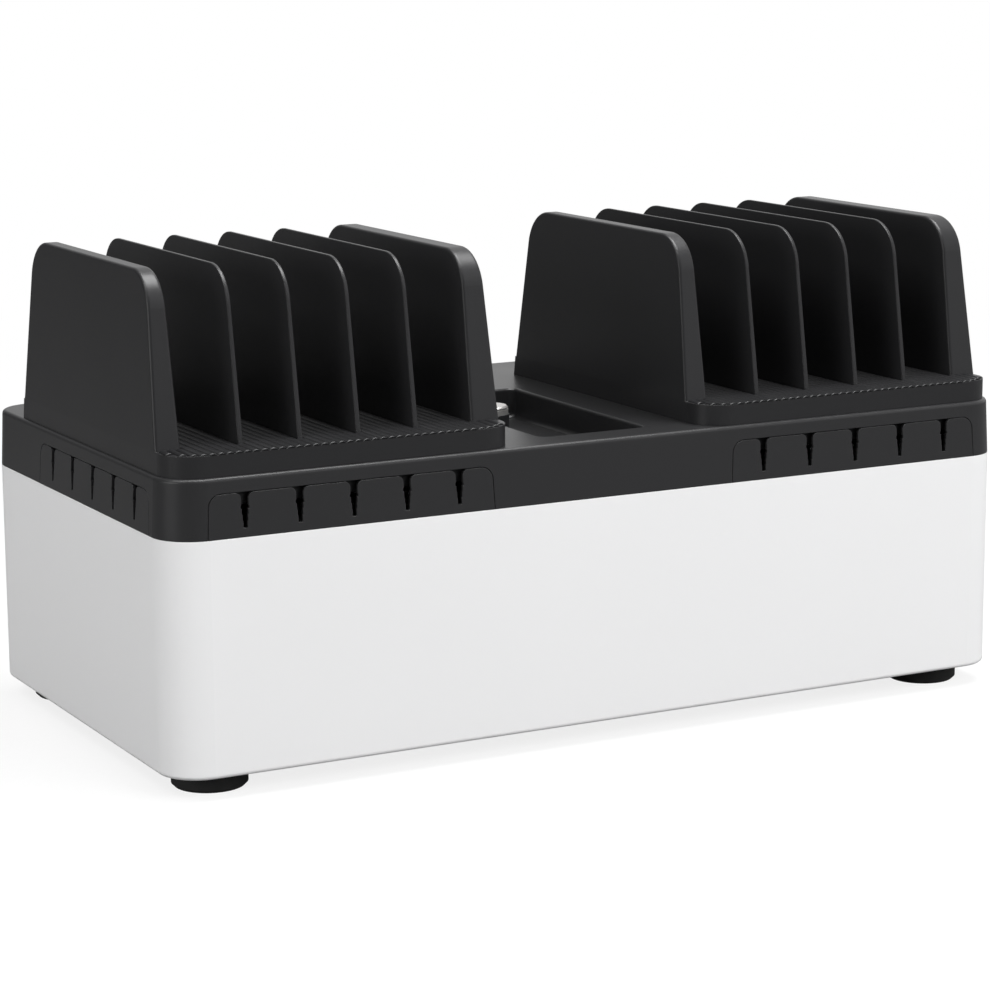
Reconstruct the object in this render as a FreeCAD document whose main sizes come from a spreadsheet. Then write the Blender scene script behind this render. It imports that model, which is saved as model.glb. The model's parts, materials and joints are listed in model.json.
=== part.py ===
import FreeCAD, Part
import os
import re
import Sketcher

# Charging station organizer: a lidded tub that holds two outlet strips and the
# chargers, with two divider racks on its lid.
# Millimetres, +Z up, front at -Y. Pieces are drawn about the middle of the tub and written
# with the origin on the table, under the middle of the whole outline, hinge barrels included.

SLOT_COUNT = 5
OUTLET_COUNT = 5
DIVIDER_COUNT = 4

# A size that starts with "=" follows from the sizes above it.
SIZES = (
    # Tub and feet
    ("tub_width", 460, "tub, left to right"),
    ("tub_depth", 243, "tub, front to back"),
    ("tub_height", 111, "tub, underside to seam"),
    ("tub_corner", 20, "plan radius of the tub and lid corners"),
    ("tub_wall", 2.5, "tub wall thickness"),
    ("tub_floor", 3, "tub floor thickness"),
    ("tub_bottom_round", 2, "rounding of the tub's lower edge"),
    ("foot_radius", 18, "rubber foot, outer radius"),
    ("foot_height", 10, "rubber foot, table to tub"),
    ("foot_bevel", 1.5, "bevel round the foot's lower edge"),
    ("foot_inset", 28.5, "foot centre from the tub's sides"),
    ("foot_well", 6, "depth of the screw well in a foot"),
    ("foot_well_radius", 4.1, "radius of the screw well in a foot"),
    ("boss_radius", 5, "screw boss radius"),
    ("boss_height", 7, "screw boss height"),
    # Lid
    ("lid_height", 28, "lid, seam to top"),
    ("lid_draft", 1.3, "how far the lid sides lean in at the top"),
    ("lid_wall", 2.5, "lid side wall thickness"),
    ("lid_plate", 2.5, "lid top thickness"),
    ("lid_edge_round", 2, "rounding of the lid's top edge"),
    ("recess_width", 58, "hand recess, left to right"),
    ("recess_from_front", 21.5, "recess front end from the lid's front"),
    ("recess_from_back", 85.5, "recess back end from the lid's back"),
    ("recess_front", "=tub_depth / 2 - recess_from_front", "recess front end, ahead of the lid's middle"),
    ("recess_back", "=tub_depth / 2 - recess_from_back", "recess back end, behind the lid's middle"),
    ("recess_depth", 15.5, "recess depth below the lid top"),
    ("recess_wall", 2.5, "recess wall and floor thickness"),
    ("recess_corner", 4, "plan radius of the recess corners"),
    ("recess_foot_round", 3, "rounding round the recess floor"),
    ("recess_rim_round", 1.5, "rounding of the recess rim"),
    # Cable combs
    ("comb_width", 145, "comb width at the seam"),
    ("comb_slant", 1, "how far each comb side leans in at the top"),
    ("comb_height", 20.4, "comb height above the seam"),
    ("comb_corner", 6, "radius of the comb's top corners"),
    ("comb_from_side", 19.2, "front comb's outer end from the tub's side"),
    ("comb_from_front", 23.7, "side comb's front end from the tub's front"),
    ("comb_front_place", "=tub_width / 2 - comb_from_side - comb_width / 2",
     "front comb centre from the tub's middle"),
    ("comb_side_place", "=tub_depth / 2 - comb_from_front - comb_width / 2",
     "side comb centre ahead of the tub's middle"),
    ("comb_gap", 0.35, "gap between a comb and its notch in the lid"),
    ("comb_root_rise", 3, "comb root above the seam"),
    ("comb_root_drop", 18, "comb root below the seam"),
    ("comb_root_thick", 2.5, "comb root thickness"),
    ("socket_wall", 2.5, "wall of the socket that holds a comb root"),
    ("socket_low", 6, "socket mouth below the seam"),
    ("seat_fit", 0.1, "clearance round a seated piece"),
    ("slot_from_end", 18.3, "outer slots from the comb's ends"),
    ("slot_pitch", f"=(comb_width - 2 * slot_from_end) / {SLOT_COUNT - 1}", "cable slot spacing"),
    ("slot_neck", 3.7, "width of a slot's neck"),
    ("slot_depth", 16.2, "slot depth below the comb's top"),
    ("slot_mouth", 2.8, "rounding of a slot's mouth"),
    ("lip_thick", 2, "lid lip behind a comb"),
    ("lip_gap", 3, "gap between a comb and the lip behind it"),
    ("lip_reach", 14.2, "lip's lower edge above the seam"),
    # Racks and dividers
    ("rack_from_side", 3.25, "plinth's outer side from the tub's side"),
    ("rack_from_middle", 51.75, "plinth's inner side from the lid's middle"),
    ("rack_from_front", 3, "plinth's front from the tub's front"),
    ("rack_from_back", 45.5, "plinth's back from the tub's back"),
    ("rack_width", "=tub_width / 2 - rack_from_side - rack_from_middle", "rack plinth, left to right"),
    ("rack_place", "=rack_from_middle + rack_width / 2", "rack centre from the lid's middle"),
    ("rack_front", "=tub_depth / 2 - rack_from_front", "plinth front, ahead of the lid's middle"),
    ("rack_back", "=tub_depth / 2 - rack_from_back", "plinth back, behind the lid's middle"),
    ("rack_ledge", 18.5, "ledge of the plinth in front of the walls"),
    ("plinth_height", 10.2, "plinth height on the lid"),
    ("plinth_corner", 17, "plan radius of the plinth's front corners"),
    ("plinth_wall", 2.5, "plinth skirt thickness"),
    ("rack_floor", 3.4, "plinth top thickness"),
    ("wall_height", 80.3, "end wall height above the plinth"),
    ("left_wall_foot", 12.5, "left end wall's thickness at the plinth"),
    ("right_wall_foot", 15, "right end wall's thickness at the plinth"),
    ("wall_outer_lean", 3, "how far an end wall's outer face leans in"),
    ("wall_inner_lean", 1.4, "how far an end wall's inner face leans in"),
    ("wall_lean", 13, "how far the front and back edges lean in"),
    ("wall_corner", 20, "radius of the walls' top corners"),
    ("wall_edge_round", 1.5, "rounding of the end walls' edges"),
    ("outer_gap_trim", 0.4, "how much the gaps beside the walls fall short of the divider spacing"),
    ("clear_width", "=rack_width - left_wall_foot - right_wall_foot", "width between a rack's end walls"),
    ("clear_place", "=(left_wall_foot - right_wall_foot) / 2", "middle of that width from the rack's middle"),
    ("divider_pitch", f"=(clear_width + 2 * outer_gap_trim) / {DIVIDER_COUNT + 1}", "divider spacing"),
    ("divider_foot", 2.5, "divider thickness at the plinth"),
    ("divider_lean", 0.35, "how far each face of a divider leans in"),
    ("divider_seat", 1.5, "depth of a divider's groove"),
    ("divider_edge_round", 0.5, "rounding of a divider's edges"),
    ("rack_screw_side", 30, "rack screw from the plinth's side"),
    ("rack_screw_end", 24, "rack screw from the plinth's front or back"),
    # Screws
    ("screw_radius", 1.5, "screw shank radius"),
    ("screw_head_radius", 2.9, "screw head radius"),
    ("screw_top_radius", 2.3, "radius of the flat on a screw head"),
    ("screw_head_height", 1.9, "screw head height"),
    ("screw_cross_width", 0.8, "width of the cross in a screw head"),
    ("screw_cross_length", 3.4, "length of the cross in a screw head"),
    ("screw_cross_depth", 0.9, "depth of the cross in a screw head"),
    ("screw_fit", 0.1, "clearance round a screw shank"),
    ("screw_bite", 4.5, "screw length in the piece that it holds to"),
    # Hinges
    ("hinge_from_side", 80, "hinge centre from the tub's side"),
    ("hinge_place", "=tub_width / 2 - hinge_from_side", "hinge centre from the tub's middle"),
    ("hinge_length", 60, "hinge leaf length"),
    ("hinge_pad", 4, "thickened wall behind a hinge leaf"),
    ("hinge_clear", 0.4, "gap between a knuckle and the wall"),
    ("leaf_thick", 1.2, "hinge leaf thickness"),
    ("leaf_height", 17, "hinge leaf height"),
    ("knuckle_radius", 2.8, "hinge knuckle radius"),
    ("knuckle_gap", 0.4, "gap between hinge knuckles"),
    ("hinge_pin_radius", 1.3, "hinge pin radius"),
    ("hinge_pin_fit", 0.05, "clearance round the hinge pin"),
    ("hinge_pin_head", 1, "thickness of the hinge pin's heads"),
    ("hinge_pin_head_radius", 2.2, "radius of the hinge pin's heads"),
    ("hinge_screw_spread", 21, "outer hinge screws from the leaf's middle"),
    # Lock and its post
    ("lock_from_recess_back", 27, "lock axis ahead of the recess's back end"),
    ("lock_place", "=recess_back - lock_from_recess_back", "lock axis behind the lid's middle"),
    ("lock_collar_radius", 10.5, "lock collar radius"),
    ("lock_collar_height", 8.4, "lock collar height above the recess floor"),
    ("lock_sleeve_radius", 8.6, "collar sleeve through the recess floor"),
    ("lock_sleeve_drop", 5, "sleeve length below the recess floor"),
    ("lock_barrel_radius", 7, "turning barrel radius"),
    ("lock_barrel_fit", 0.06, "running clearance round the barrel"),
    ("lock_face_radius", 10, "bright lock face radius"),
    ("lock_face_height", 4.4, "bright lock face height"),
    ("lock_face_bevel", 1, "bevel round the lock face"),
    ("lock_groove_depth", 0.5, "groove round the lock face"),
    ("lock_groove_width", 0.8, "width of that groove"),
    ("key_slot_length", 8.4, "key slot length"),
    ("key_slot_width", 2, "key slot width"),
    ("key_slot_depth", 7, "key slot depth"),
    ("nut_radius", 12.4, "lock nut, radius to its corners"),
    ("nut_thick", 4, "lock nut thickness"),
    ("cam_length", 26, "cam reach from the lock axis"),
    ("cam_width", 13, "cam width"),
    ("cam_thick", 2.5, "cam thickness"),
    ("cam_gap", 0.5, "gap between the sleeve and the cam"),
    ("post_width", 18, "latch post, left to right"),
    ("post_thick", 6, "latch post column, front to back"),
    ("post_clear", 1, "gap between the cam's sweep and the column"),
    ("hook_reach", 12, "hook over the cam, ahead of the column"),
    ("hook_thick", 3, "hook thickness"),
    ("hook_gap", 0.6, "gap between the cam and the hook"),
    ("post_foot_width", 44, "post foot, left to right"),
    ("post_foot_depth", 22, "post foot, front to back"),
    ("post_foot_thick", 3, "post foot thickness"),
    ("post_screw_spread", 15, "post screws from the post's middle"),
    # Outlet strips
    ("strip_gap", 36, "strip's inner end from the tub's middle"),
    ("strip_from_side", 22, "strip's outer end from the tub's side"),
    ("strip_length", "=tub_width / 2 - strip_gap - strip_from_side", "strip, left to right"),
    ("strip_depth", 52, "strip, front to back"),
    ("strip_height", 32, "strip cover height"),
    ("strip_from_back", 75.5, "strip centre from the tub's back"),
    ("strip_place", "=tub_depth / 2 - strip_from_back", "strip centre behind the tub's middle"),
    ("strip_wall", 2.2, "strip cover wall"),
    ("strip_corner", 5, "plan radius of the strip cover"),
    ("strip_edge_round", 2, "rounding of the strip cover's top edge"),
    ("strip_base_thick", 3, "strip base plate thickness"),
    ("strip_ear", 12, "mounting ear of the base plate"),
    ("strip_ear_depth", 16, "mounting ear, front to back"),
    ("strip_ear_place", 14, "ear centre behind the strip's middle"),
    ("outlet_end", 3.5, "first outlet's share of the strip from the strip's end"),
    ("outlet_gap", 7, "gap between outlet faces"),
    ("outlet_pitch", f"=(strip_length - 2 * outlet_end) / {OUTLET_COUNT}", "outlet spacing"),
    ("outlet_width", "=outlet_pitch - outlet_gap", "outlet face, left to right"),
    ("outlet_depth", 36, "outlet face, front to back"),
    ("outlet_corner", 3, "plan radius of an outlet face"),
    ("outlet_rise", 0.6, "outlet face above the strip cover"),
    ("outlet_flange", 1.6, "flange of an outlet under the cover"),
    ("outlet_flange_thick", 3, "thickness of that flange"),
    ("blade_spacing", 12.7, "spacing of an outlet's blade slots"),
    ("blade_width", 1.8, "blade slot width"),
    ("blade_length", 7.6, "blade slot length"),
    ("ground_radius", 2.5, "ground hole radius"),
    ("ground_place", 8, "ground hole from the blade slots"),
    # Power inlet, switch and leads
    ("inlet_rise", 27, "inlet centre above the tub's underside"),
    ("inlet_flange_width", 80, "inlet flange, left to right"),
    ("inlet_flange_height", 30, "inlet flange height"),
    ("inlet_flange_thick", 2.5, "inlet flange thickness"),
    ("inlet_flange_corner", 4, "corner radius of the inlet flange"),
    ("inlet_body_width", 62, "inlet body, left to right"),
    ("inlet_body_height", 26, "inlet body height"),
    ("inlet_body_depth", 30, "inlet body behind the flange"),
    ("inlet_fit", 0.2, "clearance round the inlet body in the wall"),
    ("inlet_screw_spread", 35.5, "inlet screws from its middle"),
    ("socket_place", 14, "mains socket from the inlet's middle"),
    ("socket_width", 24.6, "mains socket width"),
    ("socket_height", 16.4, "mains socket height"),
    ("socket_chamfer", 4.6, "chamfer of the socket's upper corners"),
    ("socket_depth", 18, "mains socket depth"),
    ("contact_width", 2, "contact blade thickness"),
    ("contact_height", 4, "contact blade height"),
    ("contact_length", 12.5, "contact blade length"),
    ("contact_spacing", 7, "contact blade spacing"),
    ("contact_lift", 2, "middle contact above the outer ones"),
    ("contact_root", 3, "contact length inside the inlet body"),
    ("switch_place", 18, "switch from the inlet's middle"),
    ("rocker_width", 13, "rocker, left to right"),
    ("rocker_reach", 9.2, "rocker, pivot to end"),
    ("rocker_rise", 0.4, "rocker middle above the flange"),
    ("rocker_thick", 5, "rocker depth behind its middle"),
    ("rocker_tilt", 8, "rocker lean to each side, degrees"),
    ("rocker_gap", 0.5, "gap at each side of the rocker"),
    ("rocker_end_gap", 1.1, "gap at each end of the rocker"),
    ("rocker_well_depth", 13, "depth of the switch well"),
    ("axle_radius", 1.2, "rocker axle radius"),
    ("axle_fit", 0.05, "clearance round the rocker axle"),
    ("axle_depth", 2.5, "axle behind the flange face"),
    ("axle_reach", 2, "axle length in each side of the well"),
    ("lead_radius", 3.5, "internal lead radius"),
    ("lead_bend", 22, "internal lead bend radius"),
    ("lead_place", 9, "lead from the inlet's middle"),
    ("lead_bite", 4, "lead length inside the inlet and the strip"),
    # One overrun serves every cut
    ("overrun", 2, "how far cutting shapes run past a face"),
)

# The fir-tree slot: widths as shares of its neck, and the depths where each width
# ends as shares of the slot's depth.
SLOT_WIDTH_SHARES = (1.0, 1.16, 0.89, 0.73, 0.57)
SLOT_DEPTH_SHARES = (0.37, 0.46, 0.63, 0.81, 1.0)

# Heights that many pieces share
SEAM = "(foot_height + tub_height)"
LID_TOP = "(foot_height + tub_height + lid_height)"
TUB_FLOOR_TOP = "(foot_height + tub_floor)"
RECESS_FLOOR = "(foot_height + tub_height + lid_height - recess_depth)"
RACK_TOP = "(foot_height + tub_height + lid_height + plinth_height)"
LID_ANGLE = "atan(lid_draft / lid_height)"

# The hinge axis runs along the outside of the back wall, level with the seam. Its barrels
# stand out behind the tub, which moves the outline's middle back by half as much.
HINGE_Y = "(tub_depth / 2 + hinge_clear + knuckle_radius)"
OUTLINE_MIDDLE_Y = "hinge_clear / 2 + knuckle_radius"

X_AXIS = FreeCAD.Vector(1, 0, 0)
Y_AXIS = FreeCAD.Vector(0, 1, 0)
Z_AXIS = FreeCAD.Vector(0, 0, 1)

doc = FreeCAD.newDocument("charging_station")
sheet = doc.addObject("Spreadsheet::Sheet", "Sizes")
for row, (alias, number, note) in enumerate(SIZES, start=1):
    sheet.set(f"A{row}", note)
    sheet.set(f"B{row}", str(number))
    sheet.setAlias(f"B{row}", alias)
doc.recompute()

ALIASES = {alias for alias, number, note in SIZES}
NEAR = 1e-4
nodes = {}


def bound(text):
    """An expression in size names, pointed at the sheet."""
    def cell(word):
        return "Sizes." + word[0] if word[0] in ALIASES else word[0]
    return re.sub(r"[a-z][a-z_]*", cell, text)


def value(text):
    """The number that an expression in size names gives."""
    return float(sheet.evalExpression(bound(text)))


def place(piece, x="0", y="0", z="0", axis=Z_AXIS, angle="0"):
    """Put a piece at a bound place, turned about an axis."""
    piece.Placement = FreeCAD.Placement(FreeCAD.Vector(), FreeCAD.Rotation(axis, value(angle)))
    for name, text in zip("xyz", (x, y, z)):
        piece.setExpression("Placement.Base." + name, bound(text))
    return piece


def block(x, y, z):
    """A box between a low and a high limit on each axis."""
    box = doc.addObject("Part::Box", "block")
    for name, (low, high) in zip(("Length", "Width", "Height"), (x, y, z)):
        box.setExpression(name, bound(f"({high}) - ({low})"))
    return place(box, x[0], y[0], z[0])


def about(middle, half):
    """The low and high limits of a span about its middle."""
    return f"({middle}) - ({half})", f"({middle}) + ({half})"


def rod(radius, length, x, y, z, along="z"):
    """A cylinder that starts at a point and runs in the positive sense of an axis."""
    cylinder = doc.addObject("Part::Cylinder", "rod")
    cylinder.setExpression("Radius", bound(radius))
    cylinder.setExpression("Height", bound(length))
    axis, angle = {"x": (Y_AXIS, "90"), "y": (X_AXIS, "-90"), "z": (Z_AXIS, "0")}[along]
    return place(cylinder, x, y, z, axis, angle)


def join(*pieces):
    """Several pieces fused into one."""
    whole = doc.addObject("Part::MultiFuse", "join")
    whole.Shapes = list(pieces)
    whole.Refine = True
    return whole


def cut(base, *tools):
    """A piece with one or more shapes taken out of it."""
    whole = doc.addObject("Part::Cut", "cut")
    whole.Base = base
    whole.Tool = tools[0] if len(tools) == 1 else join(*tools)
    return whole


def new_body():
    return doc.addObject("PartDesign::Body", "body")


def outline(body, role, points, offset="0"):
    """A closed sketch on one of the body's origin planes, each corner bound to the sheet."""
    plane = [feature for feature in body.Origin.OriginFeatures if feature.Role == role][0]
    sketch = body.newObject("Sketcher::SketchObject", "outline")
    sketch.AttachmentSupport = (plane, [""])
    sketch.MapMode = "FlatFace"
    sketch.setExpression("AttachmentOffset.Base.z", bound(offset))
    corners = [FreeCAD.Vector(value(u), value(v), 0) for u, v in points]
    count = len(corners)
    for i in range(count):
        sketch.addGeometry(Part.LineSegment(corners[i], corners[(i + 1) % count]))
    for i in range(count):
        sketch.addConstraint(Sketcher.Constraint("Coincident", i, 2, (i + 1) % count, 1))
    for i, (u, v) in enumerate(points):
        for kind, text, number in (("DistanceX", u, corners[i].x), ("DistanceY", v, corners[i].y)):
            index = sketch.addConstraint(Sketcher.Constraint(kind, -1, 1, i, 1, number))
            sketch.setExpression(f"Constraints[{index}]", bound(text))
    return sketch


def pad(body, sketch, length):
    """A sketch raised along its plane's normal."""
    feature = body.newObject("PartDesign::Pad", "pad")
    feature.Profile = sketch
    feature.setExpression("Length", bound(length))
    doc.recompute()
    return feature


def names(kind, items, test):
    return [f"{kind}{i}" for i, item in enumerate(items, start=1) if test(item.BoundBox)]


def round_edges(body, radius, test):
    """Round the body's edges whose bounding box passes a test."""
    base = body.Tip
    feature = body.newObject("PartDesign::Fillet", "rounding")
    feature.Base = (base, names("Edge", base.Shape.Edges, test))
    feature.setExpression("Radius", bound(radius))
    doc.recompute()
    return feature


def lean_in(body, angle, test):
    """Lean the body's faces that pass a test inwards, hinged at its lowest face."""
    base = body.Tip
    low = base.Shape.BoundBox.ZMin
    feature = body.newObject("PartDesign::Draft", "lean")
    feature.Base = (base, names("Face", base.Shape.Faces, test))
    feature.NeutralPlane = (base, names("Face", base.Shape.Faces, lambda box: box.ZMax < low + NEAR))
    feature.setExpression("Angle", bound(angle))
    doc.recompute()
    if feature.Shape.Volume > base.Shape.Volume:
        feature.Reversed = True
        doc.recompute()
    return feature


def upright(box):
    """An edge or face that climbs."""
    return box.ZLength > NEAR


def rectangle(x, y):
    return [(x[0], y[0]), (x[1], y[0]), (x[1], y[1]), (x[0], y[1])]


def rounded_block(x, y, height, corner, rounded=lambda box: True):
    """A body on the XY plane with rounded upright corners."""
    body = new_body()
    pad(body, outline(body, "XY_Plane", rectangle(x, y)), height)
    round_edges(body, corner, lambda box: upright(box) and rounded(box))
    return body


def turned(points):
    """A body revolved about Z from a half outline of (radius, height) points."""
    body = new_body()
    sketch = outline(body, "XZ_Plane", points)
    feature = body.newObject("PartDesign::Revolution", "turn")
    feature.Profile = sketch
    feature.ReferenceAxis = (sketch, ["V_Axis"])
    feature.Angle = 360
    return body


def pocket(body, sketch, depth, symmetric=False):
    """A sketch cut into the body against its plane's normal, or to both sides of it."""
    before = body.Shape.Volume
    feature = body.newObject("PartDesign::Pocket", "pocket")
    feature.Profile = sketch
    feature.setExpression("Length", bound(depth))
    feature.Midplane = symmetric
    doc.recompute()
    if body.Shape.Volume > before - NEAR:
        raise ValueError("a pocket cuts nothing")
    return feature


def finish(label, piece):
    """Name a sub-part's finished solid."""
    piece.Label = label
    nodes[label] = piece
    return piece


def group(label, pieces):
    """Identical separate pieces under one name."""
    whole = doc.addObject("Part::Compound", "group")
    whole.Links = list(pieces)
    return finish(label, whole)


# Screws: each runs from its head's seat along a way such as "-z".
SCREW_TURNS = {
    "-z": (Z_AXIS, "0"), "+z": (X_AXIS, "180"),
    "-y": (X_AXIS, "-90"), "+y": (X_AXIS, "90"),
}


def screw(x, y, z, way, length):
    """A pan-head screw with a cross, its seat at a point."""
    body = turned([
        ("0", f"-({length})"), ("screw_radius", f"-({length})"), ("screw_radius", "0"),
        ("screw_head_radius", "0"), ("screw_head_radius", "screw_head_height / 2"),
        ("screw_top_radius", "screw_head_height"), ("0", "screw_head_height"),
    ])
    doc.recompute()
    long = ("-screw_cross_length / 2", "screw_cross_length / 2")
    wide = ("-screw_cross_width / 2", "screw_cross_width / 2")
    for across in ((long, wide), (wide, long)):
        cross = outline(body, "XY_Plane", rectangle(*across), "screw_head_height")
        pocket(body, cross, "screw_cross_depth")
    axis, angle = SCREW_TURNS[way]
    return place(body, x, y, z, axis, angle)


def screw_hole(x, y, z, way, length):
    """The clearance hole of a screw, from its seat."""
    start = {"x": x, "y": y, "z": z}
    along = way[1]
    if way[0] == "-":
        start[along] = f"{start[along]} - ({length})"
    return rod("screw_radius + screw_fit", length, start["x"], start["y"], start["z"], along)


def mirrored(places):
    """Four places, one in each quarter, from a bound x and y."""
    x, y = places
    return [(f"{a}({x})", f"{b}({y})") for a in ("-", "") for b in ("-", "")]


# Feet
FOOT_PLACES = mirrored(("tub_width / 2 - foot_inset", "tub_depth / 2 - foot_inset"))
FOOT_NAMES = ("foot_front_left", "foot_rear_left", "foot_front_right", "foot_rear_right")
FOOT_SCREW_LENGTH = "foot_height - foot_well + tub_floor + screw_bite"


def make_feet():
    """Rubber feet with a screw well, and the screws that hold them."""
    screws = []
    for label, (x, y) in zip(FOOT_NAMES, FOOT_PLACES):
        hole = "screw_radius + screw_fit"
        foot = turned([
            (hole, "foot_well"), ("foot_well_radius", "foot_well"), ("foot_well_radius", "0"),
            ("foot_radius - foot_bevel", "0"), ("foot_radius", "foot_bevel"),
            ("foot_radius", "foot_height"), (hole, "foot_height"),
        ])
        finish(label, place(foot, x, y))
        screws.append(screw(x, y, "foot_well", "+z", FOOT_SCREW_LENGTH))
    group("foot_screws", screws)


# Combs: each is drawn with its outer face on y = 0 and the seam on z = 0.
COMB_PLACES = {
    "comb_front_left": ("-comb_front_place", "-tub_depth / 2", "0"),
    "comb_front_right": ("comb_front_place", "-tub_depth / 2", "0"),
    "comb_side_left": ("-tub_width / 2", "-comb_side_place", "-90"),
    "comb_side_right": ("tub_width / 2", "-comb_side_place", "90"),
}
COMB_ROOT_HALF = "(comb_width / 2 - comb_corner)"


def comb_outline(gap):
    """The leaning sides and top of a comb, or of its notch a gap away."""
    low = f"(comb_width / 2 + {gap})"
    high = f"(comb_width / 2 - comb_slant + {gap})"
    top = f"(comb_height + {gap})"
    return [(f"-{low}", "0"), (low, "0"), (high, top), (f"-{high}", top)]


def slot_outline():
    """Half by half, the stepped sides of the leftmost cable slot."""
    middle = f"slot_pitch * {SLOT_COUNT - 1} / 2"
    side = []
    above = "comb_height + overrun"
    for width, depth in zip(SLOT_WIDTH_SHARES, SLOT_DEPTH_SHARES):
        half = f"slot_neck * {width} / 2"
        below = f"comb_height - slot_depth * {depth}"
        side.append((half, above))
        side.append((half, below))
        above = below
    right = [(f"{half} - {middle}", height) for half, height in side]
    left = [(f"-({half}) - {middle}", height) for half, height in reversed(side)]
    return right + left


def comb_plate(points, thick, start="0"):
    """A plate drawn on the XZ plane, from y = start to y = start + thick."""
    body = new_body()
    pad(body, outline(body, "XZ_Plane", points, f"-({start} + {thick})"), thick)
    return body


def comb_side_cut(sign):
    """What leans a comb's left or right side in, as an outline past its edges."""
    low = f"{sign}comb_width / 2"
    high = f"{sign}(comb_width / 2 - comb_slant)"
    past = f"{sign}(comb_width / 2 + overrun)"
    over = "comb_height + overrun"
    return [(low, "0"), (past, "0"), (past, over), (high, over), (high, "comb_height")]


def make_combs():
    """Cable combs: a slotted panel in the lid's face, with a root inside the tub wall."""
    top_lean = "comb_height * lid_draft / lid_height"
    section = [("0", "0"), ("lid_wall", "0"), ("lid_wall", "comb_height"), (top_lean, "comb_height")]
    through = "lid_wall + 2 * overrun"
    for label, (x, y, angle) in COMB_PLACES.items():
        body = new_body()
        pad(body, outline(body, "YZ_Plane", section, "-comb_width / 2"), "comb_width")
        for sign in ("-", ""):
            side = outline(body, "XZ_Plane", comb_side_cut(sign), "-lid_wall / 2")
            pocket(body, side, through, symmetric=True)
        sides = value("comb_width / 2 - comb_slant")
        high = value("comb_height")
        round_edges(body, "comb_corner",
                    lambda box: box.ZMin > high - NEAR and abs(box.XMin) > sides - NEAR
                    and box.XLength < NEAR)
        slot = outline(body, "XZ_Plane", slot_outline(), "-lid_wall / 2")
        first = pocket(body, slot, through, symmetric=True)
        row = body.newObject("PartDesign::LinearPattern", "row")
        row.Originals = [first]
        row.Direction = (slot, ["H_Axis"])
        row.setExpression("Length", bound(f"slot_pitch * {SLOT_COUNT - 1}"))
        row.Occurrences = SLOT_COUNT
        body.Tip = row
        doc.recompute()
        outer = value(f"slot_pitch * {SLOT_COUNT - 1} / 2 + slot_neck")
        round_edges(body, "slot_mouth",
                    lambda box: box.ZMin > high - NEAR and box.XLength < NEAR and abs(box.XMin) < outer)
        root = outline(body, "XZ_Plane",
                       rectangle(about("0", COMB_ROOT_HALF), ("-comb_root_drop", "comb_root_rise")),
                       "-(tub_wall + comb_root_thick)")
        pad(body, root, "comb_root_thick")
        finish(label, place(body, x, y, SEAM, Z_AXIS, angle))


def comb_notches():
    """The notches that the combs fill in the lid's sides."""
    notches = []
    for x, y, angle in COMB_PLACES.values():
        body = comb_plate(comb_outline("comb_gap"), "lid_wall + lid_draft + overrun", "-overrun")
        high = value("comb_height + comb_gap")
        round_edges(body, "comb_corner + comb_gap",
                    lambda box: box.ZMin > high - NEAR and box.XLength < NEAR)
        below = outline(body, "XZ_Plane",
                        rectangle(about("0", "comb_width / 2 + comb_gap"), ("-overrun", "0")),
                        "-(lid_wall + lid_draft)")
        pad(body, below, "lid_wall + lid_draft + overrun")
        notches.append(place(body, x, y, SEAM, Z_AXIS, angle))
    return notches


def comb_lips():
    """The lid's lips, which hang behind the combs and keep cables in their slots."""
    lips = []
    for x, y, angle in COMB_PLACES.values():
        height = ("lip_reach", "lid_height - lid_plate / 2")
        lip = comb_plate(rectangle(about("0", COMB_ROOT_HALF), height), "lip_thick", "lid_wall + lip_gap")
        lips.append(place(lip, x, y, SEAM, Z_AXIS, angle))
    return lips


def comb_sockets():
    """The open-topped sockets inside the tub walls, and the spaces for the comb roots."""
    sockets = []
    spaces = []
    for x, y, angle in COMB_PLACES.values():
        half = f"({COMB_ROOT_HALF} + seat_fit)"
        thick = "(comb_root_thick + seat_fit)"
        drop = "(comb_root_drop + seat_fit)"
        socket = comb_plate(
            rectangle((f"-{half} - socket_wall", f"{half} + socket_wall"),
                      (f"-{drop} - socket_wall", "-socket_low")),
            f"{thick} + socket_wall", "tub_wall")
        space = comb_plate(rectangle((f"-{half}", half), (f"-{drop}", "overrun")), thick, "tub_wall")
        sockets.append(place(socket, x, y, SEAM, Z_AXIS, angle))
        spaces.append(place(space, x, y, SEAM, Z_AXIS, angle))
    return sockets, spaces


# Hinges on the outside of the back walls
HINGE_PLACES = {"left": "-hinge_place", "right": "hinge_place"}
LEAF_START = "(knuckle_radius + hinge_clear)"
HINGE_SCREW_LENGTH = "leaf_thick + screw_bite"


def hinge_screw_places(middle):
    return [f"{middle} - hinge_screw_spread", middle, f"{middle} + hinge_screw_spread"]


def leaf_middle(side):
    """The height of a leaf's middle, above the seam for the lid and below it for the tub."""
    return f"{SEAM} {side} ({LEAF_START} + leaf_height / 2)"


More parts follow.
